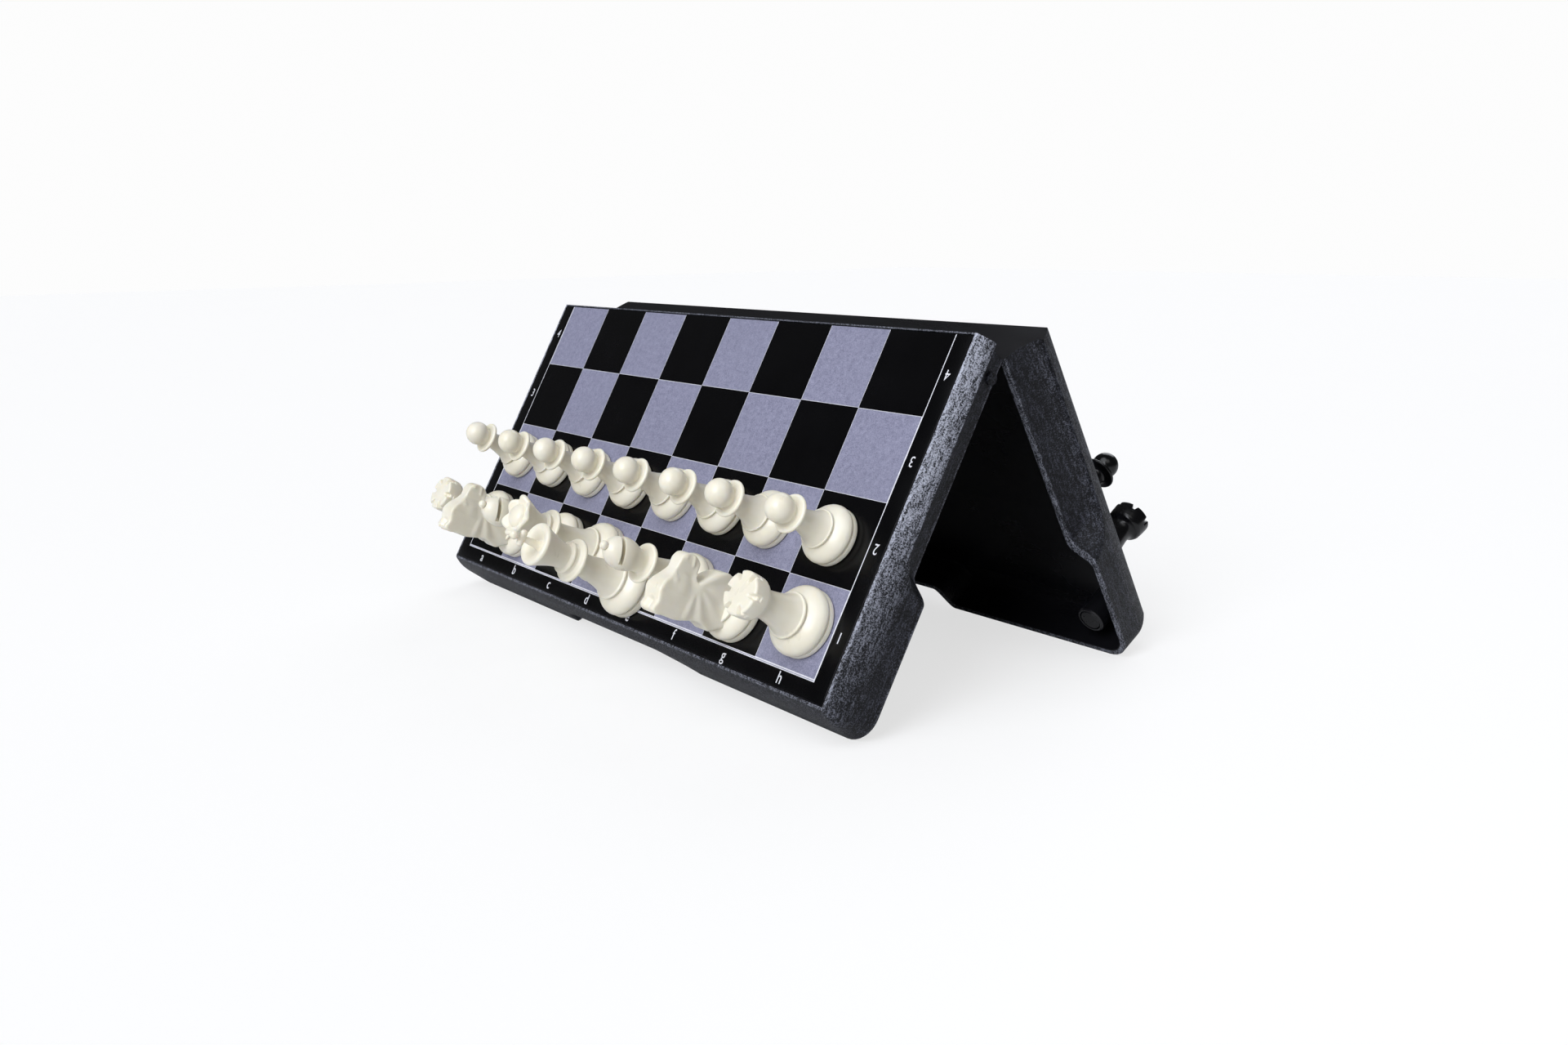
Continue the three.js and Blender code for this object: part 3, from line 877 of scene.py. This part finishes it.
def bishop():
    profile = foot(11.0, 9.4, LARGE_FLANGE)
    neck = [(6.65, 9.6), (5.4, 12.3), (4.5, 15.8), (3.8, 20.0), (4.3, 21.8), (6.2, 22.7)]
    profile += spline(neck, 6)
    profile += arc((6.35, 23.45), (0.75, 0.75), -80, 100, 8)
    profile += spline([(5.8, 24.1), (4.6, 23.9), (4.0, 24.4), (4.0, 25.6)], 4)
    profile += arc((0.0, 32.6), (5.6, 7.4), -44, 74, 22)[1:]
    profile += arc((0.0, 40.5), (1.55, 1.5), -42, 90, 10)
    return lathe(profile, TURNED_SIDES)


def slit():
    """A thin slab that falls towards the axis from the bishop's front."""
    work = bmesh.new()
    bmesh.ops.create_cube(work, size=1.0)
    where = Matrix.Translation((0, 0, SLIT_HEIGHT)) @ Matrix.Rotation(SLIT_SLOPE, 4, "Y")
    shape = Matrix.Translation((SLIT_SIZE[0] / 2, 0, 0)) @ Matrix.Diagonal((*SLIT_SIZE, 1))
    work.transform(where @ shape)
    return take_apart(work)


def take_apart(work):
    """Points and faces of a bmesh, which is freed."""
    work.verts.index_update()
    points = [tuple(v.co) for v in work.verts]
    faces = [tuple(v.index for v in f.verts) for f in work.faces]
    work.free()
    return points, faces


def queen():
    def scallop(radius, height, angle):
        share = smooth((height - 37.6) / 3.0) * smooth((radius - 4.6) / 1.6)
        lobe = (0.5 + 0.5 * math.cos(6 * angle)) ** 0.6
        return radius + 0.9 * share * (lobe - 0.75), height + 1.5 * share * (lobe - 0.75)

    profile = foot(11.8, 10.0, LARGE_FLANGE)
    neck = [(7.15, 10.2), (5.8, 13.3), (4.9, 17.4), (4.3, 22.4), (4.6, 25.4), (6.6, 27.0)]
    profile += spline(neck, 6)
    profile += arc((6.9, 27.8), (0.75, 0.75), -75, 100, 8)
    profile += spline([(6.0, 28.7), (5.4, 29.0), (5.3, 29.6)], 3)
    profile += arc((4.9, 30.3), (0.7, 0.6), -60, 90, 6)
    profile += spline([(4.3, 31.2), (4.4, 33.2), (5.3, 36.2), (6.7, 39.2), (7.55, 41.2)], 7)
    profile += arc((6.75, 41.6), (0.95, 0.95), 0, 140, 8)
    profile += spline([(5.6, 41.9), (4.9, 41.4), (4.4, 41.3)], 5)
    profile += arc((0.0, 41.2), (4.3, 2.5), 5, 90, 12)[1:]
    return lathe(profile, TURNED_SIDES * 2, scallop)


def king():
    profile = foot(12.1, 10.4, LARGE_FLANGE)
    neck = [(7.3, 10.6), (6.0, 13.5), (5.0, 17.4), (4.3, 22.4), (4.7, 25.6), (6.9, 27.2)]
    profile += spline(neck, 6)
    profile += arc((7.2, 28.1), (0.9, 0.85), -75, 100, 8)
    profile += spline([(6.6, 29.2), (6.0, 29.5), (5.8, 30.2)], 3)
    profile += arc((5.1, 31.2), (0.9, 0.8), -50, 90, 7)
    profile += spline([(4.6, 32.2), (4.5, 33.6), (5.2, 36.8), (6.5, 40.6), (7.6, 43.4)], 7)
    profile += arc((6.85, 43.95), (1.0, 1.15), 0, 75, 8)
    cup = [(6.4, 45.05), (5.4, 44.75), (4.3, 43.9), (3.2, 42.9), (2.3, 42.6), (1.7, 43.2)]
    profile += spline(cup, 6)
    profile += spline([(1.45, 44.2), (1.3, 46.0), (1.25, 47.4)], 5)
    return lathe([*profile, (0.0, 47.6)], TURNED_SIDES)


def cross():
    """The king's finial: a rounded cross on its stem, with arms towards its front and back."""
    blocks = [((0, 0, 47.4), (1.2, 1.2, 2.6)), ((0, 0, 50.4), (1.35, 1.3, 1.9))]
    blocks += [((0, 0, 53.4), (1.75, 1.7, 1.6))]
    blocks += [((x, 0, 50.2), (1.25, 1.3, 1.3)) for x in (-0.9, -1.8, 0.9, 1.8)]
    work = bmesh.new()
    for centre, radii in blocks:
        matrix = Matrix.Translation(centre) @ Matrix.Diagonal((*radii, 1))
        bmesh.ops.create_uvsphere(work, u_segments=20, v_segments=12, radius=1.0, matrix=matrix)
    return take_apart(work)


# The knight's head from its side, as (forward, height) points.
KNIGHT_BACK = [(-7.2, 6.6), (-8.2, 8.6), (-10.2, 11.4), (-9.3, 14.4), (-8.9, 17.6), (-9.8, 21.4)]
KNIGHT_BACK += [(-11.1, 26.0), (-11.1, 30.4), (-11.7, 33.0), (-11.2, 35.0), (-9.8, 35.7)]
KNIGHT_BROW = [(-7.6, 35.1), (-3.8, 36.2), (-0.8, 35.2), (1.4, 33.6), (4.2, 32.3), (7.4, 32.1)]
KNIGHT_MUZZLE = [(9.6, 30.9), (10.4, 28.3), (9.8, 25.9), (8.4, 24.3), (6.2, 24.1), (4.0, 23.7)]
KNIGHT_CHEST = [(2.7, 22.9), (4.0, 21.0), (6.6, 18.4), (8.8, 15.6), (9.7, 12.8), (9.2, 10.6)]
KNIGHT_CHEST += [(7.4, 8.2), (6.6, 6.6)]
KNIGHT_SLAB = 4.3  # half thickness before carving
THROAT = (2.6, 23.0)  # where the pleats of the mane meet
PLEATS = 12  # in a full turn

# Full thickness against the forward distance, for the head and for the neck.
HEAD_WIDTH = [(-12.0, 7.6), (-7.0, 8.7), (-3.0, 8.7), (1.0, 7.1), (4.0, 4.9), (7.0, 5.8)]
HEAD_WIDTH += [(11.0, 5.2)]
NECK_WIDTH = [(-12.0, 6.6), (-7.0, 8.6), (4.0, 8.8), (10.0, 6.4)]


def table_value(table, x):
    """A value between the rows of a short table."""
    for (x0, y0), (x1, y1) in zip(table, table[1:]):
        if x <= x1:
            return y0 + (y1 - y0) * max(x - x0, 0.0) / (x1 - x0)
    return table[-1][1]


def dot(x, z, centre, size):
    """A soft spot: 1 at its centre, falling off within its size."""
    return math.exp(-((x - centre[0]) ** 2 + (z - centre[1]) ** 2) / size ** 2)


def stroke(x, z, start, end, size):
    """A soft line between two points."""
    along = Vector((end[0] - start[0], end[1] - start[1]))
    share = Vector((x - start[0], z - start[1])).dot(along) / along.length_squared
    share = min(max(share, 0.0), 1.0)
    return dot(x, z, (start[0] + along.x * share, start[1] + along.y * share), size)


def carve(x, y, z):
    """Gives the knight's slab its rounded cheeks, mane, eyes, mouth and ears."""
    share = smooth((z - 21.0) / 5.0)
    half = (table_value(NECK_WIDTH, x) * (1 - share) + table_value(HEAD_WIDTH, x) * share) / 2
    relief = 0.5 * dot(x, z, (0.4, 27.8), 2.7) + 0.35 * dot(x, z, (1.0, 31.4), 0.9)
    relief -= 0.35 * dot(x, z, (2.3, 31.8), 0.55)
    relief -= 0.4 * dot(x, z, (8.7, 30.2), 0.6)
    relief -= 0.4 * stroke(x, z, (10.4, 27.4), (7.0, 26.7), 0.42)
    forward, up = x - THROAT[0], z - THROAT[1]
    reach = math.hypot(forward, up)
    pleats = 0.5 + 0.5 * math.cos(PLEATS * math.atan2(up, forward))
    relief -= 0.4 * pleats * smooth((reach - 2.5) / 5.0) * smooth((25.5 - z) / 3.0)
    ear = smooth((z - 32.5) / 2.0) * smooth((-6.5 - x) / 1.5)
    part = math.exp(-(y / 1.1) ** 2) * ear
    width = y * half / KNIGHT_SLAB + math.copysign(relief, y) * abs(y) / KNIGHT_SLAB
    return Vector((x, width, z - 1.5 * part))


def horse_head(finish):
    """The knight's head and neck, carved out of a thick outline."""
    outline_points = spline([*KNIGHT_BACK, *KNIGHT_BROW, *KNIGHT_MUZZLE, *KNIGHT_CHEST], 4)
    count = len(outline_points)
    points = [(x, side * KNIGHT_SLAB, z) for side in (-1, 1) for x, z in outline_points]
    faces = [tuple(range(count)), tuple(reversed(range(count, 2 * count)))]
    faces += [(i, (i + 1) % count, (i + 1) % count + count, i + count) for i in range(count)]
    head = finish_mesh(new_object("horse_head", points, faces, [finish]))
    remesh(head, VOXEL)
    soften(head, 6)
    for vertex in head.data.vertices:
        vertex.co = carve(*(vertex.co / MM)) * MM
    soften(head, 3)
    return head


def remesh(obj, voxel):
    modifier = obj.modifiers.new("grid", "REMESH")
    modifier.mode = "VOXEL"
    modifier.voxel_size = voxel * MM
    return bake_modifiers(obj)


def soften(obj, rounds):
    modifier = obj.modifiers.new("soften", "SMOOTH")
    modifier.factor = 0.5
    modifier.iterations = rounds
    return bake_modifiers(obj)


def knight():
    profile = foot(11.0, 9.4, LARGE_FLANGE)
    return lathe([*profile, (6.0, 9.5), (0.0, 9.55)], TURNED_SIDES)


PIECES = {shape.__name__: shape for shape in (pawn, rook, knight, bishop, queen, king)}
CROSS_VOXEL = 0.22  # grid of the king's cross


def build_piece(shape, name, finish):
    """A piece that stands on the origin and looks along +X."""
    points, faces = PIECES[shape]()
    piece = finish_mesh(new_object(name, points, faces, [finish]), PIECE_SHARP)
    if shape == "bishop":
        combine(piece, finish_mesh(new_object("slit", *slit(), [finish])), "DIFFERENCE")
    if shape == "king":
        blocks = finish_mesh(new_object("cross", *cross(), [finish]))
        finial = soften(remesh(blocks, CROSS_VOXEL), 4)
        combine(piece, finial, "UNION")
    if shape == "knight":
        combine(piece, horse_head(finish), "UNION")
    return finish_mesh(piece, PIECE_SHARP)


# ---- Assembly ----------------------------------------------------------------------


def place(obj, body, slot, matrix, *nodes):
    """Puts a finished mesh where it belongs, with its place in its vertices."""
    obj.data.transform(matrix)
    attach(obj, body)
    if nodes:
        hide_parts(*nodes)
    return obj


def foot_centre(node, matrix):
    """The middle of a chess piece's foot in its half's frame, in metres."""
    points = [matrix.inverted() @ v.co for v in frame["nodes"][node].data.vertices]
    low = min(p.z for p in points)
    base = [p for p in points if p.z < low + MM]
    x = (min(p.x for p in base) + max(p.x for p in base)) / 2
    y = (min(p.y for p in base) + max(p.y for p in base)) / 2
    return Vector((x, y, low))


# How far each shape is turned from +X; the rest look straight at the hinge.
TURNS = {"bishop": SLIT_TURN}


def build_half(side, colour, finish, slot):
    matrix = half_matrix(side)
    body = f"{side}_half"
    place(case_half(side), body, "case", matrix, f"{side}_case")
    place(board_panel(side), body, "printed_panel", matrix, f"{side}_board_panel")
    place(coordinates(side), body, "printed_panel", matrix)
    plate = frame["nodes"][f"{side}_steel_plate"].data
    plate.materials.clear()
    plate.materials.append(SHEET_STEEL)
    flip = 1 if side == "front" else -1
    magnet_top = BOSS_TOP + MAGNET_THICKNESS
    for hand, x in (("a", -MAGNET_X * flip), ("h", MAGNET_X * flip)):
        disc = post_z(MAGNET_RADIUS, BOSS_TOP, magnet_top, x, MAGNET_Y, FERRITE, chamfer=0.25)
        disc.name = f"{side}_magnet_disc_{hand}"
        place(disc, body, "magnet", matrix, f"{side}_catch_magnet_{hand}")
    meshes = {}
    for node in sorted(n for n in frame["nodes"] if n.startswith(colour)):
        shape = node.split("_")[1]
        centre = foot_centre(node, matrix)
        turn = Matrix.Rotation(TURNS.get(shape, math.pi / 2), 4, "Z")
        where = matrix @ Matrix.Translation(centre) @ turn
        if shape not in meshes:
            made = build_piece(shape, f"{node}_man", finish)
            meshes[shape] = made.data.copy()
        else:
            made = bpy.data.objects.new(f"{node}_man", meshes[shape].copy())
            bpy.context.scene.collection.objects.link(made)
        place(made, node, slot, where, node)
        disc = post_z(FOOT_MAGNET_RADIUS, 0.1, FOOT_MAGNET_THICKNESS, 0, 0, FERRITE, chamfer=0.2)
        disc.name = f"{node}_foot_magnet"
        place(disc, node, "magnet", where)


def build_pins():
    matrix = half_matrix("front")
    for hand, x in (("a", -HINGE_OFFSET), ("h", HINGE_OFFSET)):
        pin = rod_x(PIN_RADIUS, PIN_LENGTH - PARTING_GAP, x, PIN_STEEL, chamfer=0.25)
        pin.name = f"hinge_rod_{hand}"
        place(pin, "front_half", "hinge_pin", matrix, f"hinge_pin_{hand}")


# ---- Camera, floor and light -------------------------------------------------------

CAMERA_AIM = Vector((0.0173, -0.0165, 0.0267))
CAMERA_DISTANCE = 0.5
CAMERA_AZIMUTH = math.radians(51.96)
CAMERA_ELEVATION = math.radians(14.39)
CAMERA_ROLL = math.radians(-0.58)
LENS = 29.61
SHIFT = (0.0138, 0.0278)

SEEN = 0.98  # brightness of floor and room in the picture
GLOW = 0.55  # share of the floor's brightness that shadows do not touch
PAPER = 0.7  # reflectance of the floor
ROOM_LIGHT = 0.2
ROOM_IN_GLOSS = 0.06
# Broad lights as (azimuth, elevation, strength, spread) in degrees.
LIGHTS = [(6, 58, 1.2, 45), (16, 28, 1.8, 30), (206, 34, 0.8, 40)]
SIDE_BOX = (80, 48, 0.6, 0.25, 0.25)  # azimuth, elevation, distance, size, watts
# What the floor gets from the room and the broad lights.
FLOOR_LIGHT = ROOM_LIGHT + sum(s * math.sin(math.radians(e)) for _, e, s, _ in LIGHTS) / math.pi


def facing(azimuth, elevation):
    """Unit vector from the object towards a viewer at this azimuth and elevation."""
    level = math.cos(elevation)
    return Vector((math.sin(azimuth) * level, -math.cos(azimuth) * level, math.sin(elevation)))


def add_camera():
    data = bpy.data.cameras.new("camera")
    data.lens = LENS
    data.sensor_width = 36.0
    data.shift_x, data.shift_y = SHIFT
    camera = bpy.data.objects.new("camera", data)
    bpy.context.scene.collection.objects.link(camera)
    back = facing(CAMERA_AZIMUTH, CAMERA_ELEVATION)
    turn = back.to_track_quat("Z", "Y").to_matrix().to_4x4()
    roll = Matrix.Rotation(CAMERA_ROLL, 4, "Z")
    camera.matrix_world = Matrix.Translation(CAMERA_AIM + CAMERA_DISTANCE * back) @ turn @ roll
    bpy.context.scene.camera = camera


def add_floor():
    """White paper that looks as bright as the room behind it."""
    n = Nodes("floor_paper")
    tone = n.noise(3, 2.0)
    paper = n.set(
        Base_Color=n.mix(tone, (PAPER - 0.01,) * 3, (PAPER + 0.01,) * 3),
        Roughness=0.9,
        Specular_IOR_Level=0.1,
    )
    glow = n.tree.nodes.new("ShaderNodeEmission")
    glow.inputs["Strength"].default_value = (SEEN - (1 - GLOW) * PAPER * FLOOR_LIGHT) / GLOW
    path = n.tree.nodes.new("ShaderNodeLightPath")
    choose = n.tree.nodes.new("ShaderNodeMixShader")
    n.link(n.maths("MULTIPLY", path.outputs["Is Camera Ray"], GLOW), choose.inputs["Fac"])
    n.link(n.shader.outputs["BSDF"], choose.inputs[1])
    n.link(glow.outputs["Emission"], choose.inputs[2])
    n.link(choose.outputs["Shader"], n.tree.nodes["Material Output"].inputs["Surface"])
    size = 4000.0
    corners = [(-size, -size, 0), (size, -size, 0), (size, size, 0), (-size, size, 0)]
    new_object("floor", corners, [(0, 1, 2, 3)], [paper])


def add_sun(azimuth, elevation, strength, spread):
    """A broad even light, soft as a large studio screen."""
    data = bpy.data.lights.new("softbox", "SUN")
    data.energy = strength
    data.color = (0.95, 0.98, 1.04)
    data.angle = math.radians(spread)
    lamp = bpy.data.objects.new("softbox", data)
    bpy.context.scene.collection.objects.link(lamp)
    direction = facing(math.radians(azimuth), math.radians(elevation))
    lamp.rotation_mode = "QUATERNION"
    lamp.rotation_quaternion = direction.to_track_quat("Z", "Y")


def add_side_box(azimuth, elevation, distance, size, watts):
    """A square softbox near the object, for the sheen along the edges that face it."""
    data = bpy.data.lights.new("side_box", "AREA")
    data.shape = "SQUARE"
    data.size = size
    data.energy = watts
    lamp = bpy.data.objects.new("side_box", data)
    bpy.context.scene.collection.objects.link(lamp)
    direction = facing(math.radians(azimuth), math.radians(elevation))
    turn = direction.to_track_quat("Z", "Y").to_matrix().to_4x4()
    lamp.matrix_world = Matrix.Translation(direction * distance) @ turn


def add_world():
    """An even white room that shows only faintly in gloss."""
    world = bpy.data.worlds.new("studio")
    world.use_nodes = True
    bpy.context.scene.world = world
    tree = world.node_tree
    background = tree.nodes["Background"]
    background.inputs["Color"].default_value = (1.0, 1.0, 1.0, 1.0)
    path = tree.nodes.new("ShaderNodeLightPath")
    strength = ROOM_LIGHT
    for ray, value in (("Is Glossy Ray", ROOM_IN_GLOSS), ("Is Camera Ray", SEEN)):
        choose = tree.nodes.new("ShaderNodeMix")
        tree.links.new(path.outputs[ray], choose.inputs["Factor"])
        if isinstance(strength, float):
            choose.inputs["A"].default_value = strength
        else:
            tree.links.new(strength, choose.inputs["A"])
        choose.inputs["B"].default_value = value
        strength = choose.outputs["Result"]
    tree.links.new(strength, background.inputs["Strength"])


add_camera()
add_floor()
add_world()
for light in LIGHTS:
    add_sun(*light)
add_side_box(*SIDE_BOX)
bpy.context.scene.view_settings.view_transform = "Standard"

build_half("front", "white", IVORY, "ivory_piece")
build_half("rear", "black", EBONY, "black_piece")
build_pins()
